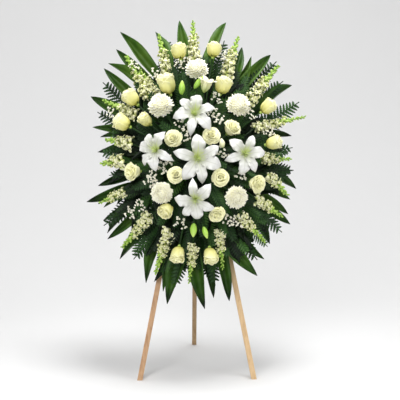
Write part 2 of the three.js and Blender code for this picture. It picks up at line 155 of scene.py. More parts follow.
bar_screws = [f"{bar}_screw_{side}" for bar in ("stop_bar", "tray_bar") for side in ("left", "right")]
paint(["pivot_bolt", "wing_nut", "washer_left", "washer_right", *bar_screws], zinc_plate())


# ---- Foam, tray, tape and ties -------------------------------------------------------------------
# A block of wet floral foam sits in a moulded green tray, held in by waterproof tape.
# Two black cable ties lash the tray to the front legs.

def speckled(name, roughness, scale, dark, pale, depth):
    material, tree, shader = new_material(name, roughness)
    place = add_node(tree, "TexCoord")
    specks = add_node(tree, "TexNoise", {"Scale": scale, "Detail": 4.0})
    tree.links.new(place.outputs["Object"], specks.inputs["Vector"])
    colour = add_ramp(tree, specks.outputs["Fac"], (0.35, dark), (0.65, pale))
    tree.links.new(colour, shader.inputs["Base Color"])
    add_bump(tree, shader, specks.outputs["Fac"], 0.5, depth)
    return material


paint(["foam_block"], speckled("wet_foam", 0.95, 700, (0.02, 0.07, 0.03), (0.045, 0.13, 0.055), 0.0006))
paint(["foam_tray"], speckled("tray_plastic", 0.5, 60, (0.012, 0.05, 0.02), (0.018, 0.065, 0.027), 0.0002))
paint(["foam_tape"], speckled("green_tape", 0.35, 200, (0.02, 0.09, 0.035), (0.03, 0.11, 0.045), 0.0002))
paint(["tie_left", "tie_right"], speckled("tie_nylon", 0.4, 120, (0.012,) * 3, (0.02,) * 3, 0.0001))


# ---- Broad leaves --------------------------------------------------------------------------------
# Long pointed leaves with parallel veins stand round the edge in four fans, and shorter ones fill in
# between the flowers. Each blade is a thin glossy sheet on a round stalk that is pushed into the foam.

foam_low, foam_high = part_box("foam_block")
RIGHT = Vector((1, 0, 0))
UP = Vector((0, math.sin(LEAN), math.cos(LEAN)))  # up the leaning frame
OUT = Vector((0, -math.cos(LEAN), math.sin(LEAN)))  # away from it, towards the viewer
FOAM_MIDDLE_OUT = 0.0446  # from the front legs' faces to the foam's middle
SPRAY_MIDDLE = (foam_low + foam_high) / 2 - OUT * FOAM_MIDDLE_OUT


def way(x, up, out):
    return RIGHT * x + UP * up + OUT * out


def at(x, up, out):
    return SPRAY_MIDDLE + way(x, up, out)


def deselect():
    bpy.ops.object.select_all(action="DESELECT")


def apply_modifiers(piece):
    deselect()
    piece.select_set(True)
    bpy.context.view_layer.objects.active = piece
    for modifier in list(piece.modifiers):
        bpy.ops.object.modifier_apply(modifier=modifier.name)
    bpy.ops.object.shade_smooth()


def choose(piece, points):
    """In edit mode, only these points are selected."""
    bpy.ops.mesh.select_all(action="DESELECT")
    mesh = bmesh.from_edit_mesh(piece.data)
    mesh.verts.ensure_lookup_table()
    for i in points:
        mesh.verts[i].select = True
    mesh.select_flush(True)


def start_grid(name, columns, rows):
    """A grid from x = -0.5 to 0.5 and y = 0 to 1, in edit mode, with its columns and rows of points."""
    deselect()
    bpy.ops.mesh.primitive_grid_add(x_subdivisions=columns, y_subdivisions=rows, size=1, location=(0, 0.5, 0))
    piece = bpy.context.active_object
    piece.name = name
    bpy.ops.object.transform_apply(location=True)
    spots = [(round(v.co.x, 5), round(v.co.y, 5)) for v in piece.data.vertices]
    lines = []
    for axis in (0, 1):
        places = sorted({s[axis] for s in spots})
        lines.append([(p, [i for i, s in enumerate(spots) if s[axis] == p]) for p in places])
    bpy.ops.object.mode_set(mode="EDIT")
    return piece, lines[0], lines[1]


def blade(name, material, columns, rows, width, path, cup=0.0, curl=None, ruffle=0.0, waves=3, thick=0.0):
    """A petal or leaf along +Y, face up. width(t) and path(t) = (y, z) shape each row of a grid.

    The sides rise by cup, times curl(t) along the length, and ripple by ruffle.
    """
    piece, upright, across = start_grid(name, columns, rows)
    sides = [(x, set(line)) for x, line in upright if ruffle and abs(x) > 0.3]
    for x, points in upright:
        choose(piece, points)
        bpy.ops.transform.translate(value=(0, 0, cup * (2 * x) ** 2))
    for y, points in across:
        choose(piece, points)
        wide = max(width(y), 1e-4)
        bpy.ops.transform.resize(value=(wide, 1, wide * (curl(y) if curl else 1)), center_override=(0, y, 0))
        forward, lift = path(y)
        bpy.ops.transform.translate(value=(0, forward - y, lift))
        for x, line in sides:
            choose(piece, line.intersection(points))
            wave = math.sin(math.tau * waves * y + 2.1 * (x > 0))
            bpy.ops.transform.translate(value=(0, 0, ruffle * wide * abs(2 * x) ** 3 * wave))
    bpy.ops.object.mode_set(mode="OBJECT")
    if thick:
        wall = piece.modifiers.new("wall", "SOLIDIFY")
        wall.thickness = thick
        wall.offset = 0
    piece.data.materials.append(material)
    apply_modifiers(piece)
    return piece


def copy_at(pattern, matrix, tone_and_painted_shading=None):
    """A copy of a pattern piece with a mesh of its own, moved in its mesh. Its tone is paler above 0; on some
    pieces it carries painted light and painted shade as well as the piece's own tone.
    """
    piece = pattern.copy()
    piece.data = pattern.data.copy()
    piece.data.transform(matrix)
    if tone_and_painted_shading is not None:
        shade = piece.data.attributes.new("tone_and_painted_shading", "FLOAT", "POINT")
        shade.data.foreach_set("value", [tone_and_painted_shading] * len(piece.data.vertices))
    bpy.context.collection.objects.link(piece)
    return piece


def merge(name, pieces):
    """One object from its parts: a pattern to copy."""
    deselect()
    for piece in pieces:
        piece.select_set(True)
    bpy.context.view_layer.objects.active = pieces[0]
    bpy.ops.object.join()
    whole = bpy.context.active_object
    whole.name = name
    return whole


def join(name, pieces, nodes=()):
    """One finished piece from its parts. It rides with the front frame and stands for the CAD nodes."""
    whole = merge(name, pieces)
    if nodes:
        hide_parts(*nodes)
    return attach(whole, FRONT_BODY)


def discard(*patterns):
    for pattern in patterns:
        bpy.data.objects.remove(pattern)


def lay(base, tip, face, width, roll=0.0):
    """Places a blade of length 1 and width 1 from base to tip, with its upper side towards face."""
    along = tip - base
    length = along.length
    along.normalize()
    normal = (face - along * face.dot(along)).normalized()
    normal.rotate(Quaternion(along, roll))
    across = along.cross(normal)
    columns = Matrix((across * width, along * length, normal * length)).transposed().to_4x4()
    return Matrix.Translation(base) @ columns


def add_math(tree, operation, *terms):
    """A sum, product or other sum-like node of sockets and numbers."""
    made = add_node(tree, "Math", operation=operation)
    for i, term in enumerate(terms):
        if isinstance(term, (int, float)):
            made.inputs[i].default_value = term
        else:
            tree.links.new(term, made.inputs[i])
    return made.outputs["Value"]


def plant_green(name, roughness, ribs, *stops):
    """Green, paler down the middle of a blade, with fine parallel veins and darker patches."""
    material, tree, shader = new_material(name, roughness)
    shader.inputs["Specular IOR Level"].default_value = 0.2
    place = add_node(tree, "TexCoord")
    split = add_node(tree, "SeparateXYZ")
    tree.links.new(place.outputs["UV"], split.inputs["Vector"])
    patches = add_node(tree, "TexNoise", {"Scale": 22.0, "Detail": 3.0})
    tree.links.new(place.outputs["Object"], patches.inputs["Vector"])
    # The per-piece tone read here holds painted light and painted shade on some leaves as well as their own
    # tone.
    tone_and_painted_shading = add_node(tree, "Attribute", attribute_name="tone_and_painted_shading")
    veins = add_math(tree, "SINE", add_math(tree, "MULTIPLY", split.outputs["X"], ribs * math.tau))
    middle = add_math(tree, "SINE", add_math(tree, "MULTIPLY", split.outputs["X"], math.pi))
    body = add_math(tree, "SINE", add_math(tree, "MULTIPLY", split.outputs["Y"], math.pi))
    total = add_math(tree, "MULTIPLY_ADD", middle, 0.06, tone_and_painted_shading.outputs["Fac"])
    total = add_math(tree, "MULTIPLY_ADD", body, 0.30, total)
    total = add_math(tree, "MULTIPLY_ADD", patches.outputs["Fac"], 0.5, total)
    total = add_math(tree, "MULTIPLY_ADD", veins, 0.02, total)
    tree.links.new(add_ramp(tree, total, *stops), shader.inputs["Base Color"])
    add_bump(tree, shader, veins, 0.12, 0.0003)
    return material


leaf_green = plant_green("leaf_green", 0.48, 9, (0.2, (0.002, 0.009, 0.001)), (0.5, (0.030, 0.085, 0.008)),
                         (0.95, (0.120, 0.215, 0.028)))
stalk_green = plant_green("stalk_green", 0.5, 2, (0.2, (0.004, 0.018, 0.002)), (0.8, (0.030, 0.09, 0.014)))


def leaf_outline(t):
    return max(0.02, math.sin(math.pi * t ** 0.8) ** 0.75)


def leaf_path(arch, droop):
    def path(t):
        return t, arch * math.sin(math.pi * t) - droop * t * t
    return path


LEAF_BENDS = [(0.05, 0.02), (0.10, 0.08), (0.03, -0.05)]  # arch and droop
leaf_shapes = [
    blade(f"leaf_{i}", leaf_green, 4, 12, leaf_outline, leaf_path(*bend),
          cup=0.16, ruffle=0.04, waves=1.5, thick=0.004)
    for i, bend in enumerate(LEAF_BENDS)
]

deselect()
bpy.ops.mesh.primitive_cylinder_add(vertices=7, radius=1, depth=1, location=(0, 0, 0.5))
stalk_shape = bpy.context.active_object
bpy.ops.object.transform_apply(location=True)
stalk_shape.data.materials.append(stalk_green)
bpy.ops.object.shade_smooth()


def stalk(start, end, radius):
    """A straight round stalk from start to end."""
    along = end - start
    turn = along.to_track_quat("Z", "Y").to_matrix().to_4x4()
    size = Matrix.Diagonal((radius, radius, along.length, 1))
    return copy_at(stalk_shape, Matrix.Translation(start) @ turn @ size)


LEAF_TUCK = 0.74  # how far in towards the middle each blade goes on, under the flowers
LEAF_FULLNESS = 1.12  # each blade is laid this much wider than its width in the fans
# Each fan: where its stalks meet in the foam, how far out it lies, and tip, base and width of each leaf.
LEAF_FANS = {
    "leaves_top": ((0, 0.075), 0.029, [
        ((-0.300, 0.545), (-0.150, 0.395), 0.042),
        ((-0.155, 0.555), (-0.148, 0.400), 0.044),
        ((-0.065, 0.585), (-0.038, 0.400), 0.046),
        ((-0.315, 0.470), (-0.170, 0.365), 0.038),
        ((-0.345, 0.420), (-0.190, 0.330), 0.036),
        ((-0.355, 0.385), (-0.215, 0.262), 0.040),
        ((0.120, 0.590), (0.038, 0.390), 0.046),
        ((0.188, 0.490), (0.150, 0.335), 0.036),
        ((0.215, 0.440), (0.170, 0.330), 0.030),
        ((0.298, 0.452), (0.170, 0.345), 0.044),
        ((0.378, 0.335), (0.262, 0.220), 0.044),
    ]),
    "leaves_right": ((0.040, 0), 0.015, [
        ((0.372, 0.122), (0.230, 0.160), 0.032),
        ((0.340, 0.058), (0.225, 0.062), 0.034),
        ((0.378, -0.095), (0.265, 0.005), 0.038),
        ((0.358, -0.130), (0.235, -0.085), 0.032),
        ((0.350, -0.185), (0.245, -0.125), 0.036),
        ((0.352, -0.228), (0.245, -0.165), 0.038),
        ((0.275, -0.300), (0.235, -0.150), 0.044),
    ]),
    "leaves_bottom": ((0, -0.075), 0.029, [
        ((0.250, -0.360), (0.115, -0.270), 0.040),
        ((0.222, -0.422), (0.100, -0.320), 0.048),
        ((0.115, -0.512), (0.088, -0.350), 0.044),
        ((0.062, -0.500), (0.008, -0.365), 0.034),
        ((0.025, -0.540), (-0.018, -0.350), 0.050),
        ((-0.105, -0.522), (-0.038, -0.345), 0.054),
        ((-0.125, -0.476), (-0.068, -0.350), 0.032),
        ((-0.152, -0.442), (-0.102, -0.320), 0.034),
        ((-0.182, -0.446), (-0.165, -0.285), 0.040),
        ((-0.285, -0.356), (-0.145, -0.250), 0.040),
    ]),
    "leaves_left": ((-0.040, 0), 0.015, [
        ((-0.332, -0.282), (-0.225, -0.170), 0.036),
        ((-0.338, -0.255), (-0.232, -0.145), 0.036),
        ((-0.350, -0.210), (-0.245, -0.140), 0.032),
        ((-0.350, -0.160), (-0.238, -0.102), 0.034),
        ((-0.415, -0.142), (-0.270, -0.085), 0.038),
        ((-0.372, -0.078), (-0.270, -0.015), 0.034),
        ((-0.378, 0.055), (-0.235, 0.060), 0.036),
        ((-0.372, 0.118), (-0.265, 0.148), 0.028),
        ((-0.398, 0.152), (-0.270, 0.178), 0.030),
        ((-0.412, 0.278), (-0.245, 0.215), 0.046),
    ]),
}
chance = random.Random(11)
for name, (pick, level, fan) in LEAF_FANS.items():
    parts = []
    # Painted light and shade: the top fan's blades are painted paler and the other fans' blades darker, and
    # each blade also varies at random.
    lit = 0.08 if name == "leaves_top" else -0.06
    for i, (tip, base, width) in enumerate(fan):
        foot, low = at(*pick, level), at(base[0] * LEAF_TUCK, base[1] * LEAF_TUCK, level)
        top = at(*tip, level - 0.002)
        roll = chance.uniform(-0.35, 0.35)
        shade = lit + chance.uniform(-0.12, 0.12)
        place = lay(low, top, OUT, width * LEAF_FULLNESS, roll)
        parts.append(copy_at(leaf_shapes[i % 3], place, shade))
        parts.append(stalk(foot, low.lerp(top, 0.06), 0.0016))
    join(name + "_blades", parts, [name])


def dome(x, up):
    """How far out the flower heads stand, above a place in the spray."""
    spread = min(1.0, (x / 0.40) ** 2 + (up / 0.50) ** 2)
    return 0.100 + 0.110 * (1 - spread)


FOAM_HEART = at(0, 0, 0.050)
GOLDEN_TURN = math.radians(137.508)
FILLER_STALK = 0.0013


def scattered(count, inner, wide, tall, seed):
    """Places spread evenly outwards over an oval, a little out of line.

    The inner share of its area is left out.
    """
    luck = random.Random(seed)
    for i in range(count):
        share = math.sqrt(inner + (1 - inner) * (i + 0.5) / count)
        turn = i * GOLDEN_TURN + luck.uniform(-0.2, 0.2)
        yield share * wide * math.cos(turn), share * tall * math.sin(turn), luck


# Painted shade: the leaves between the flowers are painted much darker than the leaves in the fans.
parts = []
for i, (x, up, luck) in enumerate(scattered(190, inner=0.04, wide=0.34, tall=0.43, seed=5)):
    depth = luck.uniform(0.05, 0.11)
    level = dome(x, up) - depth
    outward = Vector((x, up, 0)).normalized()
    length = luck.uniform(0.10, 0.15)
    aside = luck.uniform(-0.5, 0.5) * length
    tip = at(x, up, level)
    base = at(x - outward.x * length + aside * outward.y, up - outward.y * length - aside * outward.x,
              max(0.05, level - 0.06))
    place = lay(base, tip, OUT, luck.uniform(0.030, 0.044), luck.uniform(-0.6, 0.6))
    parts.append(copy_at(leaf_shapes[i % 3], place, luck.uniform(-0.75, -0.15)))
    parts.append(stalk(FOAM_HEART, base.lerp(tip, 0.08), FILLER_STALK))
join("leaves_between_flowers", parts)


# ---- Fern fronds ---------------------------------------------------------------------------------
# Leatherleaf fern: flat triangular fronds, dark green, with leaflets in pairs on a thin midrib.
# Sixteen reach past the flowers, smaller ones close the gaps behind them, and a ring backs the edge.

fern_green = plant_green("fern_green", 0.5, 3, (0.2, (0.001, 0.005, 0.001)), (0.6, (0.014, 0.050, 0.009)),
                         (1.0, (0.050, 0.130, 0.022)))
LEAFLET_ROWS = 10


def leaflet_outline(t):
    """Narrowing to the tip, with a notch at every other row."""
    notch = 0.62 if round(t * LEAFLET_ROWS) % 2 else 1
    return max(0.03, (1 - t) ** 0.45 * notch)


leaflet = blade("leaflet", fern_green, 2, LEAFLET_ROWS, leaflet_outline, lambda t: (t, -0.06 * t * t),
                cup=0.05)

FROND_PAIRS = 13
midrib = Matrix.Rotation(-math.pi / 2, 4, "X") @ Matrix.Diagonal((0.009, 0.009, 0.99, 1))
parts = [copy_at(stalk_shape, midrib)]
for pair in range(FROND_PAIRS):
    along = 0.06 + 0.88 * pair / FROND_PAIRS
    reach = 0.24 * (1 - along) ** 0.7 + 0.03
    for side in (-1, 1):
        root = Vector((0, along + 0.010 * side, 0))
        slant = Vector((side * reach, 0.65 * reach, -0.02))
        parts.append(copy_at(leaflet, lay(root, root + slant, Vector((0, 0, 1)), 0.070)))
frond_shape = merge("frond_shape", parts)

# Each fan: where its stalks meet in the foam, how far out it lies, and tip and length of each frond.
FERN_FANS = {
    "ferns_top": ((0, 0.070), 0.053, [
        ((-0.118, 0.500), 0.210),
        ((0.112, 0.498), 0.210),
        ((0.340, 0.330), 0.210),
        ((0.316, 0.412), 0.220),
    ]),
    "ferns_right": ((0.035, 0), 0.041, [
        ((0.402, 0.250), 0.220),
        ((0.370, 0.066), 0.190),
        ((0.366, -0.026), 0.190),
        ((0.318, -0.262), 0.200),
    ]),
    "ferns_bottom": ((0, -0.070), 0.053, [
        ((0.222, -0.366), 0.210),
        ((0.066, -0.458), 0.210),
        ((-0.080, -0.462), 0.200),
        ((-0.232, -0.362), 0.200),
    ]),
    "ferns_left": ((-0.035, 0), 0.041, [
        ((-0.345, -0.236), 0.200),
        ((-0.368, 0.046), 0.190),
        ((-0.380, 0.205), 0.200),
        ((-0.362, 0.326), 0.220),
    ]),
}
for name, (pick, level, fan) in FERN_FANS.items():
    parts = []
    for tip, length in fan:
        foot, top = at(*pick, level), at(*tip, level)
        low = top.lerp(foot, length / (top - foot).length)
        parts.append(copy_at(frond_shape, lay(low, top, OUT, length), chance.uniform(-0.1, 0.1)))
        parts.append(stalk(foot, low.lerp(top, 0.1), 0.0014))
    join(name + "_fronds", parts, [name])

parts = []
for x, up, luck in scattered(150, inner=0.03, wide=0.345, tall=0.43, seed=8):
    outward = Vector((x, up, 0)).normalized()
    length = luck.uniform(0.11, 0.17)
    out = dome(x, up) - luck.uniform(0.010, 0.060)
    tip = at(x, up, out)
    base = at(x - outward.x * length, up - outward.y * length, max(0.06, out - 0.05))
    place = lay(base, tip, OUT, length, luck.uniform(-0.4, 0.4))
    parts.append(copy_at(frond_shape, place, luck.uniform(-0.30, 0.40)))
    parts.append(stalk(FOAM_HEART, base.lerp(tip, 0.1), FILLER_STALK))
join("fronds_between_flowers", parts)

parts = []
for x, up, luck in scattered(56, inner=0.62, wide=0.375, tall=0.475, seed=21):
    outward = Vector((x, up, 0)).normalized()
    length = luck.uniform(0.15, 0.19)
    out = luck.uniform(0.050, 0.085)
    tip = at(x * luck.uniform(0.9, 1), up * luck.uniform(0.9, 1), out)
    base = at(x - outward.x * length, up - outward.y * length, out - 0.01)
    place = lay(base, tip, OUT, length, luck.uniform(-0.5, 0.5))
    parts.append(copy_at(frond_shape, place, luck.uniform(-0.3, 0.2)))
    parts.append(stalk(FOAM_HEART, base.lerp(tip, 0.1), FILLER_STALK))
join("fronds_round_the_edge", parts)
discard(leaflet, frond_shape)


# ---- Snapdragons ---------------------------------------------------------------------------------
# Spikes of ruffled, greenish white florets, open at the base and closing to lime-green buds at the tip.
# A floret is a short tube with five rounded lobes, and they stand in a spiral round a green stem.

def petal_colour(name, roughness, *stops, glow=0.15, rib=0.0):
    """Colours from a petal's base to its tip with soft mottling. The base colour runs on up a rib."""
    material, tree, shader = new_material(name, roughness)
    shader.inputs["Subsurface Weight"].default_value = glow
    shader.inputs["Subsurface Radius"].default_value = (0.004, 0.004, 0.003)
    place = add_node(tree, "TexCoord")
    split = add_node(tree, "SeparateXYZ")
    tree.links.new(place.outputs["UV"], split.inputs["Vector"])
    mottle = add_node(tree, "TexNoise", {"Scale": 30.0, "Detail": 2.0})
    tree.links.new(place.outputs["Object"], mottle.inputs["Vector"])
    # The per-piece tone read here holds painted light and painted shade on some petals as well as their own
    # tone.
    tone_and_painted_shading = add_node(tree, "Attribute", attribute_name="tone_and_painted_shading")
    total = add_math(tree, "MULTIPLY_ADD", mottle.outputs["Fac"], 0.15, tone_and_painted_shading.outputs["Fac"])
    total = add_math(tree, "ADD", total, split.outputs["Y"])
    if rib:
        aside = add_math(tree, "ABSOLUTE", add_math(tree, "SUBTRACT", split.outputs["X"], 0.5))
        fade = add_math(tree, "MINIMUM", add_math(tree, "MULTIPLY", aside, 4.0), rib)
        total = add_math(tree, "ADD", total, fade)
    tree.links.new(add_ramp(tree, total, *stops), shader.inputs["Base Color"])
    fibres = add_node(tree, "TexNoise", {"Scale": 260.0, "Detail": 2.0})
    tree.links.new(place.outputs["Object"], fibres.inputs["Vector"])
    add_bump(tree, shader, fibres.outputs["Fac"], 0.15, 0.0004)
    return material


snap_white = petal_colour("snapdragon_white", 0.55, (0.0, (0.30, 0.39, 0.05)), (0.35, (0.64, 0.66, 0.27)),
                          (0.75, (0.84, 0.83, 0.58)))
bud_lime = petal_colour("bud_lime", 0.5, (0.0, (0.20, 0.36, 0.03)), (0.9, (0.52, 0.66, 0.16)))


def lobe_outline(t):
    return (0.35 + 0.75 * math.sin(math.pi * t * 0.8)) * (1 - 0.75 * t ** 5)


lobe = blade("lobe", snap_white, 3, 4, lobe_outline, lambda t: (t, 0.35 * t - 0.45 * t * t),
             cup=-0.10, ruffle=0.10, waves=1.2, thick=0.05)
deselect()
bpy.ops.mesh.primitive_cone_add(vertices=7, radius1=0.16, radius2=0.42, depth=1.0, end_fill_type="NOTHING")
tube = bpy.context.active_object
tube.data.materials.append(snap_white)
wall = tube.modifiers.new("wall", "SOLIDIFY")
wall.thickness = 0.05
apply_modifiers(tube)
# Turn round the tube in degrees, how much it stands up, and length of each lobe: two above, three below.
LOBES = [(60, 0.9, 0.85), (120, 0.9, 0.85), (200, 0.45, 0.95), (270, 0.3, 1.1), (340, 0.45, 0.95)]
parts = []
for degrees, lean, length in LOBES:
    turn = math.radians(degrees)
    out = Vector((math.cos(turn), math.sin(turn), 0))
    root = out * 0.38 + Vector((0, 0, 0.42))
    tip = root + (out + Vector((0, 0, lean))).normalized() * length * 0.62
    parts.append(copy_at(lobe, lay(root, tip, Vector((0, 0, 1)), 0.62)))
floret = merge("floret", [*parts, tube])
discard(lobe)

deselect()
bpy.ops.mesh.primitive_uv_sphere_add(segments=7, ring_count=6, radius=0.5)
bud = bpy.context.active_object
bud.name = "bud"
bpy.ops.object.mode_set(mode="EDIT")
bpy.ops.transform.resize(value=(0.62, 0.62, 1.2))
bpy.ops.object.mode_set(mode="OBJECT")
bud.data.materials.append(bud_lime)
bpy.ops.object.shade_smooth()


def aim(place, facing, size, roll=0.0):
    """Places a piece that was made along +Z: its Z axis turns to facing."""
    turn = facing.to_track_quat("Z", "Y") @ Quaternion((0, 0, 1), roll)
    return Matrix.LocRotScale(place, turn, Vector((size, size, size)))


# Each group: where its stems meet in the foam, and tip, base and width of each spike.
SPIKE_GROUPS = {
    "snapdragons_top": ((0, 0.088, 0.058), [
        ((-0.270, 0.420, 0.075), (-0.175, 0.235, 0.120), 0.042),
        ((-0.225, 0.372, 0.088), (-0.150, 0.245, 0.122), 0.030),
        ((-0.145, 0.512, 0.075), (-0.112, 0.335, 0.116), 0.038),
        ((-0.012, 0.565, 0.075), (-0.010, 0.390, 0.108), 0.040),
        ((0.165, 0.505, 0.075), (0.112, 0.330, 0.116), 0.042),
        ((0.320, 0.385, 0.075), (0.192, 0.222, 0.118), 0.044),
    ]),
    "snapdragons_right": ((0.045, 0, 0.045), [
        ((0.415, 0.178, 0.075), (0.215, 0.118, 0.122), 0.034),
        ((0.352, 0.008, 0.088), (0.238, 0.000, 0.124), 0.036),
        ((0.335, -0.130, 0.088), (0.262, -0.062, 0.122), 0.038),
        ((0.312, -0.208, 0.085), (0.215, -0.150, 0.120), 0.036),
    ]),
    "snapdragons_bottom": ((0, -0.088, 0.058), [
        ((0.245, -0.300, 0.088), (0.152, -0.205, 0.122), 0.036),
        ((0.092, -0.405, 0.088), (0.078, -0.265, 0.128), 0.032),
        ((-0.030, -0.450, 0.085), (-0.014, -0.315, 0.126), 0.032),
        ((-0.150, -0.415, 0.085), (-0.100, -0.262, 0.122), 0.038),
        ((-0.270, -0.320, 0.080), (-0.168, -0.210, 0.124), 0.040),
    ]),
    "snapdragons_left": ((-0.045, 0, 0.045), [
        ((-0.360, -0.160, 0.080), (-0.262, -0.122, 0.118), 0.030),
        ((-0.355, -0.012, 0.090), (-0.270, -0.008, 0.122), 0.044),
        ((-0.340, 0.080, 0.090), (-0.240, 0.055, 0.124), 0.042),
        ((-0.355, 0.240, 0.075), (-0.225, 0.165, 0.122), 0.036),
    ]),
}
# Between one floret or bud and the next, along the stem.
FLORET_PITCH = 0.0060
BUD_PITCH = 0.0046
for name, (pick, spikes) in SPIKE_GROUPS.items():
    parts = []
    for tip, base, width in spikes:
        top, low = at(*tip), at(*base)
        along = (top - low).normalized()
        side = along.orthogonal().normalized()
        share = 0.0
        turn = 0.0
        while share < 1:
            outward = side.copy()
            outward.rotate(Quaternion(along, turn))
            place = low.lerp(top, share) + outward * width * (0.22 - 0.14 * share)
            facing = (outward + along * (0.35 + 0.9 * share)).normalized()
            opened = share < chance.uniform(0.45, 0.62)
            bulk = 0.50 - 0.14 * share if opened else 0.70 - 0.44 * share
            size = width * bulk * chance.uniform(0.80, 1.20)
            parts.append(copy_at(floret if opened else bud, aim(place, facing, size, turn), -0.5 * share))
            share += (FLORET_PITCH if opened else BUD_PITCH) / (top - low).length
            turn += GOLDEN_TURN
        parts.append(stalk(at(*pick), low, 0.0022))
        parts.append(stalk(low, top, 0.0016))
    join(name + "_spikes", parts, [name])


# ---- Statice -------------------------------------------------------------------------------------
# Sprigs of fine white statice show between the large flowers. Each has about twenty papery florets,
# some 9 mm wide, at the ends of wiry branching stems.

statice_white = petal_colour("statice_white", 0.7, (0.0, (0.50, 0.48, 0.26)), (0.6, (0.86, 0.84, 0.72)))
papery = blade("papery", statice_white, 2, 2, lambda t: 0.25 + 0.6 * t, lambda t: (t, 0.5 * t * t),
               cup=0.1, thick=0.08)
parts = []
for turn in range(5):
    out = Vector((math.cos(turn * math.tau / 5), math.sin(turn * math.tau / 5), 0.55))
    parts.append(copy_at(papery, lay(Vector((0, 0, 0)), out * 0.55, Vector((0, 0, 1)), 0.6)))
papery_floret = merge("papery_floret", parts)
discard(papery)

STATICE_TWIGS = 7
# Across and up, for each sprig's crown.
STATICE = [
    (0.070, 0.205), (0.055, 0.145), (0.080, 0.120), (-0.060, 0.110), (-0.045, 0.060), (-0.120, -0.055),
    (-0.105, -0.025), (0.085, 0.000), (0.150, -0.075), (-0.155, -0.085), (-0.165, -0.100), (-0.065, 0.350),
    (-0.155, 0.315), (-0.235, -0.205), (-0.060, -0.245), (0.105, -0.235), (0.260, 0.090), (0.095, 0.395),
    (-0.040, 0.360), (0.190, 0.150), (-0.235, 0.360), (-0.315, 0.170), (-0.200, -0.180), (0.135, -0.240),
]
parts = []
for x, up in STATICE:
    crown = at(x, up, dome(x, up) - 0.006)
    fork = crown.lerp(FOAM_HEART, 0.30)
    parts.append(stalk(FOAM_HEART, fork, 0.0012))
    for twig in range(STATICE_TWIGS):
        turn = twig * GOLDEN_TURN
        reach = 0.021 * math.sqrt((twig + 0.5) / STATICE_TWIGS)
        tuft = crown + way(reach * math.cos(turn), reach * math.sin(turn), chance.uniform(-0.010, 0.004))
        parts.append(stalk(fork, tuft, 0.0006))
        for i in range(chance.randint(2, 4)):
            across, up_a_little = chance.uniform(-0.005, 0.005), chance.uniform(-0.005, 0.005)
            place = tuft + way(across, up_a_little, chance.uniform(0.002, 0.006))
            parts.append(copy_at(papery_floret, aim(place, (place - fork).normalized(), 0.0086, i), -0.1 * i))
join("statice", parts)


# ---- Chrysanthemums ------------------------------------------------------------------------------
# Five large double heads, creamy white. Each is a dome of narrow strap petals, short and upright in
# the middle and longer towards the rim, whose tips curve in.

mum_white = petal_colour("chrysanthemum_white", 0.6, (0.10, (0.74, 0.64, 0.22)), (0.42, (0.93, 0.88, 0.55)),
                         (0.78, (0.97, 0.95, 0.78)), glow=0.45)


def strap_outline(t):
    return (0.14 + 0.22 * math.sin(math.pi * t ** 1.4)) * (1 - 0.5 * t ** 8)


STRAPS = 170
strap = blade("strap", mum_white, 2, 6, strap_outline, lambda t: (t, 0.34 * t ** 2.5), cup=0.35, thick=0.03)
parts = []
for i in range(STRAPS):
    share = (i + 0.5) / STRAPS
    polar = 0.10 + 2.05 * share ** 0.60
    turn = i * GOLDEN_TURN
    out = Vector((math.sin(polar) * math.cos(turn), math.sin(polar) * math.sin(turn), math.cos(polar)))
    reach = 0.5 * (0.84 + 0.16 * math.sin(polar)) * chance.uniform(0.86, 1.04)
    inward = Vector((0, 0, 1)) if polar > 0.6 else Vector((-math.cos(turn), -math.sin(turn), 0))
    parts.append(copy_at(strap, lay(out * 0.10, out * reach, inward, 0.40), 0.12 * (polar - 1)))
core = copy_at(bud, Matrix.Diagonal((1.15, 1.15, 0.58, 1)))
core.data.materials[0] = mum_white
mum_head = merge("mum_head", [*parts, core])
discard(strap)

# Across, up, out and width of each head.
MUMS = [
    (0.000, 0.325, 0.165, 0.078),
    (-0.130, 0.180, 0.180, 0.084),
    (0.148, 0.185, 0.175, 0.080),
    (-0.125, -0.140, 0.185, 0.072),
    (0.135, -0.155, 0.180, 0.074),
]


def root_of(head):
    """Where a straight stem to a flower head starts, well inside the foam."""
    return FOAM_HEART.lerp(head, 0.04 / (head - FOAM_HEART).length)


for i, (x, up, out, width) in enumerate(MUMS):
    head = at(x, up, out)
    facing = (head - FOAM_HEART).normalized()
    facing = (facing * 0.45 + OUT * 0.55).normalized()
    parts = [copy_at(mum_head, aim(head, facing, width * 1.10, i))]
    parts.append(stalk(root_of(head), head - facing * width * 0.05, 0.0028))
    join(f"chrysanthemum_{i + 1}_bloom", parts, [f"chrysanthemum_{i + 1}"])
discard(mum_head)


# ---- Roses ---------------------------------------------------------------------------------------
# Twenty cream roses, some half open and some open, yellower inside. A head is rings of cupped petals,
# tight in the heart and rolled back at the lip outside, on a green calyx with five sepals.

rose_cream = petal_colour("rose_cream", 0.55, (0.05, (0.52, 0.50, 0.07)), (0.40, (0.70, 0.67, 0.23)),
                          (0.80, (0.78, 0.76, 0.38)), (1.0, (0.93, 0.91, 0.58)))


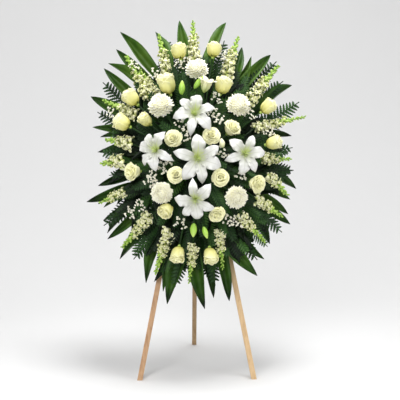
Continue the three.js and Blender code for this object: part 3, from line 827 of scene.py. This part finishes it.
def rose_petal(name, radius, height, wrap, profile):
    """Part of a cup round the Z axis: profile gives (share of radius, share of height) up the petal."""
    piece, upright, across = start_grid(name, 6, len(profile) - 1)
    for x, points in upright:
        choose(piece, points)
        bpy.ops.transform.resize(value=(1, 1 - 0.24 * abs(2 * x) ** 1.4, 1), center_override=(0, 0, 0))
    bpy.ops.object.mode_set(mode="OBJECT")
    piece.rotation_euler = (math.pi / 2, 0, 0)
    bpy.ops.object.transform_apply(rotation=True)
    bpy.ops.object.mode_set(mode="EDIT")
    for x, points in upright:
        turn = wrap * x
        choose(piece, points)
        bpy.ops.transform.translate(value=(math.sin(turn) - x, -math.cos(turn), 0))
    for (y, points), (share, level) in zip(across, profile):
        choose(piece, points)
        wide = radius * share
        tall = height * (level / y if y else 1)
        bpy.ops.transform.resize(value=(wide, wide, tall), center_override=(0, 0, 0))
    bpy.ops.object.mode_set(mode="OBJECT")
    wall = piece.modifiers.new("wall", "SOLIDIFY")
    wall.thickness = 0.012
    wall.offset = 0
    piece.data.materials.append(rose_cream)
    apply_modifiers(piece)
    return piece


CLOSED = [(0.40, 0), (0.85, 0.2), (1.0, 0.45), (0.97, 0.7), (0.88, 0.9), (0.80, 1.0)]
CUPPED = [(0.30, 0), (0.74, 0.2), (0.96, 0.45), (1.0, 0.7), (0.98, 0.9), (1.02, 1.0)]
ROLLED = [(0.22, 0), (0.66, 0.16), (0.93, 0.40), (1.0, 0.70), (1.02, 0.93), (1.13, 0.99)]
FLARED = [(0.26, 0), (0.70, 0.25), (0.92, 0.55), (1.0, 0.78), (1.13, 0.93), (1.36, 0.98)]
# Radius, height, wrap in degrees, profile and number of each ring, from the heart outwards.
HALF_OPEN = [
    (0.05, 1.10, 300, CLOSED, 2),
    (0.09, 1.12, 220, CLOSED, 2),
    (0.13, 1.12, 180, CLOSED, 3),
    (0.17, 1.11, 160, CLOSED, 3),
    (0.21, 1.10, 150, CUPPED, 3),
    (0.25, 1.09, 150, CUPPED, 3),
    (0.30, 1.07, 140, CUPPED, 4),
    (0.35, 1.04, 140, CUPPED, 4),
    (0.40, 1.00, 130, ROLLED, 4),
    (0.45, 0.95, 130, ROLLED, 4),
]
OPEN = [
    (0.045, 1.00, 300, CLOSED, 2),
    (0.08, 1.00, 220, CLOSED, 3),
    (0.11, 0.99, 180, FLARED, 3),
    (0.15, 0.97, 160, FLARED, 3),
    (0.19, 0.95, 150, FLARED, 4),
    (0.24, 0.91, 140, FLARED, 4),
    (0.29, 0.86, 130, FLARED, 5),
    (0.35, 0.79, 130, FLARED, 5),
    (0.40, 0.70, 130, FLARED, 5),
]
sepal = blade("sepal", stalk_green, 2, 4, lambda t: max(0.02, 0.3 * (1 - t)), lambda t: (t, 0.2 * t * t),
              cup=0.1, thick=0.02)


def rose(name, rings, tone_and_painted_shading):
    """A head on the Z axis, its middle at the origin and about 1 wide."""
    parts = []
    for ring, (radius, height, wrap, profile, count) in enumerate(rings):
        pattern = rose_petal("rose_petal", radius, height, math.radians(wrap), profile)
        for i in range(count):
            spin = Matrix.Rotation(i * math.tau / count + ring * 0.9, 4, "Z")
            lean = Matrix.Rotation(chance.uniform(-0.02, 0.05), 4, "X")
            twist = Matrix.Rotation(chance.uniform(-0.13, 0.13), 4, "Y")
            tall = Matrix.Diagonal((1, 1, chance.uniform(0.95, 1.03), 1))
            place = Matrix.Translation((0, 0, -0.5)) @ spin @ lean @ twist @ tall
            parts.append(copy_at(pattern, place, tone_and_painted_shading))
        discard(pattern)
    for i in range(5):
        out = Vector((math.cos(i * math.tau / 5), math.sin(i * math.tau / 5), 0.1))
        foot = Vector((0, 0, -0.5))
        parts.append(copy_at(sepal, lay(foot, foot + out * 0.42, Vector((0, 0, 1)), 0.5)))
    parts.append(copy_at(bud, Matrix.Translation((0, 0, -0.55)) @ Matrix.Diagonal((0.34, 0.34, 0.2, 1))))
    return merge(name, parts)


# The open heads, which turn to face the viewer, are painted paler than the half-open ones: painted light to
# offset the shade deep in their cups.
half_open_rose = rose("half_open_rose", HALF_OPEN, -0.05)
open_rose = rose("open_rose", OPEN, 0.55)
discard(sepal)

OPEN_FROM = 0.15  # a head that turns more than this is an open one
# Across, up, out, width of the head, and how much it turns from its stem's way to face the viewer.
ROSES = [
    (-0.065, 0.410, 0.135, 0.056, 0.0),
    (-0.110, 0.265, 0.170, 0.070, 0.1),
    (-0.240, 0.220, 0.150, 0.060, 0.0),
    (-0.270, 0.125, 0.155, 0.058, 0.0),
    (-0.185, 0.130, 0.170, 0.048, 0.1),
    (0.065, 0.420, 0.130, 0.052, 0.0),
    (0.095, 0.260, 0.175, 0.060, 0.0),
    (0.260, 0.190, 0.145, 0.056, 0.0),
    (-0.085, 0.050, 0.200, 0.058, 0.7),
    (-0.230, -0.060, 0.165, 0.060, 0.2),
    (-0.075, -0.080, 0.200, 0.054, 0.8),
    (-0.110, -0.200, 0.180, 0.050, 0.1),
    (0.048, 0.062, 0.196, 0.058, 0.8),
    (0.125, 0.095, 0.185, 0.058, 0.2),
    (0.275, 0.050, 0.160, 0.054, 0.1),
    (0.080, -0.088, 0.196, 0.056, 0.7),
    (0.210, -0.105, 0.175, 0.060, 0.3),
    (0.065, -0.215, 0.185, 0.054, 0.2),
    (0.045, -0.355, 0.150, 0.054, 0.0),
    (-0.070, -0.350, 0.150, 0.054, 0.0),
]
for i, (x, up, out, width, turned) in enumerate(ROSES):
    head = at(x, up, out)
    facing = (head - FOAM_HEART).normalized().lerp(OUT, turned).normalized()
    pattern = open_rose if turned > OPEN_FROM else half_open_rose
    parts = [copy_at(pattern, aim(head, facing, width, i * 1.3))]
    parts.append(stalk(root_of(head), head - facing * width * 0.55, 0.0026))
    join(f"rose_{i + 1:02d}_bloom", parts, [f"rose_{i + 1:02d}"])
discard(half_open_rose, open_rose)


# ---- Lilies --------------------------------------------------------------------------------------
# Five white oriental lilies, 150 to 190 mm across: three broad ruffled petals and three narrower ones,
# curled back at the tips, round a yellow-green throat with a pistil and six filaments.

# Painted shade: between the yellow-green throat and the pale tips the petals are painted grey.
lily_white_painted_shade = petal_colour("lily_white_painted_shade", 0.42, (0.06, (0.38, 0.48, 0.08)), (0.28, (0.46, 0.53, 0.20)),
                          (0.50, (0.46, 0.47, 0.40)), (1.0, (0.72, 0.72, 0.70)), glow=0.1, rib=0.22)
lily_green = petal_colour("lily_green", 0.4, (0.0, (0.30, 0.45, 0.06)), (0.8, (0.55, 0.66, 0.22)))


def lily_path(t):
    """From the foot of the trumpet out over its mouth, and back at the tip."""
    return t ** 1.1 - 0.07 * t ** 6, -0.30 + 1.25 * t - 1.05 * t * t - 0.32 * t ** 6


def lily_petal(name, wide):
    def width(t):
        return wide * (0.24 + 0.76 * math.sin(math.pi * t ** 1.15) ** 0.8) * (1 - t ** 9)
    return blade(name, lily_white_painted_shade, 8, 20, width, lily_path, cup=0.30, curl=lambda t: 1 - 1.7 * t,
                 ruffle=0.16, waves=3.3, thick=0.010)


broad_petal = lily_petal("broad_petal", 0.52)
narrow_petal = lily_petal("narrow_petal", 0.40)
stigma = copy_at(bud, Matrix.Identity(4))
stigma.data.materials[0] = lily_green


def lily_thread(start, end, radius):
    thread = stalk(start, end, radius)
    thread.data.materials[0] = lily_green
    return thread


# Middle of the mouth, way it faces, reach of a petal, and the directions of the six petals in degrees.
LILIES = {
    "lily_top": ((-0.010, 0.132, 0.246), (0, 0, 1), 0.080, (83, 22, -43, 257, 186, 134)),
    "lily_middle": ((0.000, -0.035, 0.256), (0.05, -0.2, 1), 0.090, (90, 30, -17, -76, -124, 164)),
    "lily_left": ((-0.150, 0.000, 0.236), (-0.42, -0.15, 1), 0.074, (63, 117, 161, 219, 263, 331)),
    "lily_right": ((0.166, -0.012, 0.234), (0.05, -0.19, 1), 0.076, (135, 67, 7, -56, -96, 198)),
    "lily_bottom": ((-0.010, -0.180, 0.244), (-0.1, -0.5, 1), 0.076, (179, 96, 48, -29, -84, -125)),
}
THROAT = 0.062  # from the mouth back to the foot of the trumpet
PETAL_LENGTH = 1.05  # of a petal, for a reach of 1
for name, (mouth, facing, reach, angles) in LILIES.items():
    centre, axis = at(*mouth), way(*facing).normalized()
    parts = []
    for i, angle in enumerate(angles):
        turn = math.radians(angle)
        spoke = way(math.cos(turn), math.sin(turn), 0)
        spoke = (spoke - axis * spoke.dot(axis)).normalized()
        pattern = narrow_petal if i % 2 else broad_petal
        tip = centre + spoke * reach * PETAL_LENGTH
        place = lay(centre, tip, axis, reach * PETAL_LENGTH, chance.uniform(-0.12, 0.12))
        # Painted shade: the upper petals are darkened, more the higher they point.
        parts.append(copy_at(pattern, place, -0.22 * max(0, math.sin(turn))))
        parts.append(lily_thread(centre - axis * 0.020, centre + spoke * 0.008 + axis * 0.004, 0.0009))
    parts.append(lily_thread(centre - axis * 0.020, centre + axis * 0.010, 0.0016))
    parts.append(copy_at(stigma, aim(centre + axis * 0.010, axis, 0.0052)))
    neck = centre - axis * (THROAT - 0.006)
    parts.append(stalk(root_of(neck), neck, 0.0030))
    join(name + "_bloom", parts, [name])
discard(broad_petal, narrow_petal, stigma)


# ---- Lily buds -----------------------------------------------------------------------------------
# Younger lilies stand beside the open ones: four slim green buds with three blunt ribs, a small white
# bud, and a cream lily that has just begun to open into a narrow trumpet.

bud_green = petal_colour("lily_bud_green", 0.38, (0.0, (0.16, 0.34, 0.03)), (0.6, (0.34, 0.56, 0.07)),
                         (1.0, (0.50, 0.66, 0.16)))
bud_cream = petal_colour("lily_bud_cream", 0.45, (0.0, (0.45, 0.55, 0.15)), (0.5, (0.85, 0.84, 0.52)),
                         (1.0, (0.92, 0.90, 0.70)))


BUD_SIDES = 18
BUD_RIBS = 3


def beside(spots, turn):
    """The points at one turn round the Z axis."""
    found = []
    for i, spot in enumerate(spots):
        apart = math.remainder(math.atan2(spot.y, spot.x) - turn, math.tau)
        if spot.xy.length > 0.01 and abs(apart) < 0.1:
            found.append(i)
    return found


def ribbed_bud(name, material):
    """A bud of length 1 along Z from the origin, 1 wide, with three ribs."""
    deselect()
    bpy.ops.mesh.primitive_uv_sphere_add(segments=BUD_SIDES, ring_count=12, radius=0.5, location=(0, 0, 0.5))
    piece = bpy.context.active_object
    piece.name = name
    bpy.ops.object.transform_apply(location=True)
    spots = [v.co.copy() for v in piece.data.vertices]
    bpy.ops.object.mode_set(mode="EDIT")
    for level in sorted({round(spot.z, 4) for spot in spots}):
        choose(piece, [i for i, spot in enumerate(spots) if round(spot.z, 4) == level])
        taper = 0.82 + 0.36 * (1 - level) - 0.10 * math.cos(math.tau * level)
        bpy.ops.transform.resize(value=(taper, taper, 1), center_override=(0, 0, 0))
    for step in range(BUD_SIDES):
        turn = step * math.tau / BUD_SIDES
        choose(piece, beside(spots, turn))
        rib = 1 + 0.10 * math.cos(BUD_RIBS * turn)
        bpy.ops.transform.resize(value=(rib, rib, 1), center_override=(0, 0, 0))
    bpy.ops.object.mode_set(mode="OBJECT")
    piece.data.materials.append(material)
    bpy.ops.object.shade_smooth()
    return piece


green_bud = ribbed_bud("green_bud", bud_green)
cream_bud = ribbed_bud("cream_bud", bud_cream)
# Middle of each bud, the way it points, its length and width.
LILY_BUDS = [
    (green_bud, (-0.055, 0.240, 0.205), (0.05, 1, 0.25), 0.052, 0.021),
    (green_bud, (0.005, 0.262, 0.200), (0.75, 1, 0.20), 0.056, 0.019),
    (green_bud, (-0.015, -0.272, 0.190), (-0.05, -1, 0.25), 0.052, 0.022),
    (green_bud, (0.026, -0.280, 0.186), (0.30, -1, 0.25), 0.046, 0.017),
    (cream_bud, (0.086, 0.032, 0.216), (-0.25, 1, 0.60), 0.034, 0.018),
]
parts = []
for pattern, middle, pointing, length, width in LILY_BUDS:
    along = way(*pointing).normalized()
    foot = at(*middle) - along * length * 0.5
    parts.append(copy_at(pattern, aim(foot, along, 1) @ Matrix.Diagonal((width, width, length, 1))))
    bend = foot - along * 0.02 - OUT * 0.012
    parts.append(stalk(bend, foot + along * 0.003, 0.0022))
    parts.append(stalk(FOAM_HEART, bend, 0.0022))


def trumpet_outline(t):
    return 0.12 + 0.40 * math.sin(math.pi * min(0.94, t ** 0.9))


def trumpet_path(t):
    """From the foot up the side of the trumpet, and out at the lip."""
    return 0.05 + 0.24 * t ** 0.7 + 0.28 * t ** 5, 0.95 * t - 0.12 * t ** 6


trumpet_petal = blade("trumpet_petal", bud_cream, 4, 12, trumpet_outline, trumpet_path, cup=0.25,
                      curl=lambda t: 1 - t, ruffle=0.10, waves=2.4, thick=0.012)
TRUMPET_LENGTH = 0.062
foot = at(0.024, 0.228, 0.190)
along = way(0.30, 1, 0.75).normalized()
side = along.orthogonal().normalized()
for i in range(6):
    spoke = side.copy()
    spoke.rotate(Quaternion(along, i * math.tau / 6))
    length = TRUMPET_LENGTH * (1 if i % 2 else 0.94)
    parts.append(copy_at(trumpet_petal, lay(foot, foot + spoke * length, along, length), -0.15))
parts.append(stalk(FOAM_HEART, foot + along * 0.003, 0.0025))
discard(trumpet_petal)
join("lily_buds", parts)
discard(green_bud, cream_bud, floret, bud, papery_floret, stalk_shape, *leaf_shapes)


# ---- Studio and camera ---------------------------------------------------------------------------
# A round, pale, seamless backdrop: flat round the easel and curving up all round it, open at the top.
# Broad soft lights hang overhead and in front, and one washes the backdrop.

FLAT_RADIUS = 1.45
CURVE_RADIUS = 3.6
CURVE_STEPS = 14
RIM_HEIGHT = 1.4  # straight wall above the curve
deselect()
bpy.ops.mesh.primitive_circle_add(vertices=96, radius=FLAT_RADIUS, fill_type="NGON", location=(0, 0, 0))
backdrop = bpy.context.active_object
backdrop.name = "backdrop"
bpy.ops.object.mode_set(mode="EDIT")
bpy.ops.mesh.select_all(action="DESELECT")
mesh = bmesh.from_edit_mesh(backdrop.data)
for edge in mesh.edges:
    edge.select = True
radius, height = FLAT_RADIUS, 0
for step in range(1, CURVE_STEPS + 1):
    turn = math.pi / 2 * step / CURVE_STEPS
    wider = FLAT_RADIUS + CURVE_RADIUS * math.sin(turn)
    higher = CURVE_RADIUS * (1 - math.cos(turn))
    bpy.ops.mesh.extrude_edges_move(TRANSFORM_OT_translate={"value": (0, 0, higher - height)})
    bpy.ops.transform.resize(value=(wider / radius, wider / radius, 1), center_override=(0, 0, 0))
    radius, height = wider, higher
bpy.ops.mesh.extrude_edges_move(TRANSFORM_OT_translate={"value": (0, 0, RIM_HEIGHT)})
bpy.ops.object.mode_set(mode="OBJECT")
bpy.ops.object.shade_smooth()
paper, tree, shader = new_material("paper", 0.9)
shader.inputs["Base Color"].default_value = (0.76, 0.76, 0.76, 1)
backdrop.data.materials.append(paper)
backdrop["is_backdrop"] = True


def soft_light(name, place, target, size, power):
    """A square light, its size in metres and its power in watts."""
    lamp = bpy.data.lights.new(name, "AREA")
    lamp.size = size
    lamp.energy = power
    light = bpy.data.objects.new(name, lamp)
    light.location = place
    light.rotation_euler = (Vector(target) - Vector(place)).to_track_quat("-Z", "Y").to_euler()
    light.visible_camera = False
    bpy.context.collection.objects.link(light)


soft_light("overhead", (0.2, -0.6, 3.4), (0, 0, 0.5), 1.0, 76)
soft_light("front", (-0.9, -3.1, 2.4), (0, 0, 0.7), 1.8, 74)
soft_light("right", (2.4, -1.8, 2.2), (0, 0, 0.7), 1.4, 20)
soft_light("backdrop", (0, 0.9, 4.2), (0, 5.0, 2.2), 2.6, 76)

DAYLIGHT = 0.22
world = bpy.data.worlds.new("daylight")
world.use_nodes = True
world.node_tree.nodes["Background"].inputs["Color"].default_value = (1, 1, 1, 1)
world.node_tree.nodes["Background"].inputs["Strength"].default_value = DAYLIGHT
bpy.context.scene.world = world
bpy.context.scene.view_settings.view_transform = "Standard"

# The camera stands level in front of the feet, a little to the left, and turns back to the easel.
front_feet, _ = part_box("leg_left")
CAMERA_DISTANCE = 2.1
CAMERA_HEIGHT = 0.648
CAMERA_ASIDE = -0.0545
CAMERA_TURN = -0.0308
lens = bpy.data.cameras.new("camera")
lens.sensor_width = 36
lens.lens = 52.5
camera = bpy.data.objects.new("camera", lens)
camera.location = (CAMERA_ASIDE, front_feet.y - CAMERA_DISTANCE, CAMERA_HEIGHT)
camera.rotation_euler = (math.pi / 2, 0, CAMERA_TURN)
bpy.context.collection.objects.link(camera)
bpy.context.scene.camera = camera

low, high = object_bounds()
{"cad": [list(cad_low), list(cad_high)], "visual": [list(low), list(high)]}
